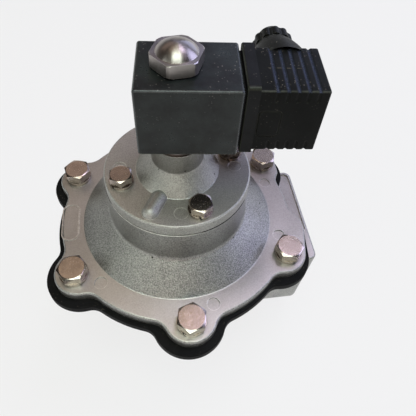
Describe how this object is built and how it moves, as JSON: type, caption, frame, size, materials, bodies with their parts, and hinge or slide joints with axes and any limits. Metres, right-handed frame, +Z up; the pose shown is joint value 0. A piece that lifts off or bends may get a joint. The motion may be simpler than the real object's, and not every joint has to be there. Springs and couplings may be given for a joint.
{
  "type": "dust collector pulse valve",
  "caption": "Right-angle two-stage diaphragm pulse valve with lobed cover, solenoid pilot, square coil and cable plug.",
  "frame": {"origin": "centre of the outlet port's face", "axes": "+Z up along the valve's main axis from the outlet to the coil, +X out of the inlet port"},
  "size_m": [0.1435, 0.1534, 0.1966],
  "materials": {
    "cast_aluminium": "blasted die casting",
    "stainless_steel": "bright turned",
    "plated_steel": "zinc plated",
    "brass": "machined",
    "black_rubber": "moulded",
    "black_resin": "satin moulded",
    "black_nylon": "satin moulded"
  },
  "bodies": {
    "valve": {"valve_body": "cast_aluminium", "main_cover": "cast_aluminium", "pilot_cover": "cast_aluminium", "main_diaphragm": "black_rubber", "pilot_diaphragm": "black_rubber", "main_spring": "stainless_steel", "pilot_spring": "stainless_steel", "plunger_spring": "stainless_steel", "flange_bolts": "stainless_steel", "flange_spring_washers": "stainless_steel", "pilot_bolts": "stainless_steel", "pilot_spring_washers": "stainless_steel", "armature_tube": "stainless_steel", "fixed_core": "stainless_steel", "lower_coil_seal": "black_rubber", "nut_seal_ring": "black_rubber", "coil_nut": "stainless_steel", "coil": "black_resin", "coil_terminals": "brass", "plug_gasket": "black_rubber", "plug_housing": "black_nylon", "plug_insert": "black_nylon", "plug_contacts": "brass", "plug_screw": "plated_steel", "gland_grommet": "black_rubber", "gland_washer": "plated_steel", "gland_nut": "black_nylon"},
    "main_disc": {"main_top_plate": "plated_steel", "main_low_plate": "plated_steel", "centre_bolt": "plated_steel", "centre_nut": "plated_steel"},
    "pilot_disc": {"pilot_plate": "plated_steel", "pilot_rivet": "brass"},
    "armature": {"plunger": "stainless_steel", "plunger_seal": "black_rubber"}
  },
  "joints": [
    {"name": "main_disc_lift", "type": "slide", "parent": "valve", "child": "main_disc", "axis": [0, 0, 1], "range_m": [0, 0.008], "stiffness_N_per_m": 800, "springref_m": -0.012, "deforming": ["main_diaphragm", "main_spring"]},
    {"name": "pilot_disc_lift", "type": "slide", "parent": "valve", "child": "pilot_disc", "axis": [0, 0, 1], "range_m": [0, 0.0025], "stiffness_N_per_m": 250, "springref_m": -0.006, "deforming": ["pilot_diaphragm", "pilot_spring"]},
    {"name": "plunger_lift", "type": "slide", "parent": "valve", "child": "armature", "axis": [0, 0, 1], "range_m": [0, 0.0019], "stiffness_N_per_m": 300, "springref_m": -0.005, "deforming": ["plunger_spring"]}
  ]
}
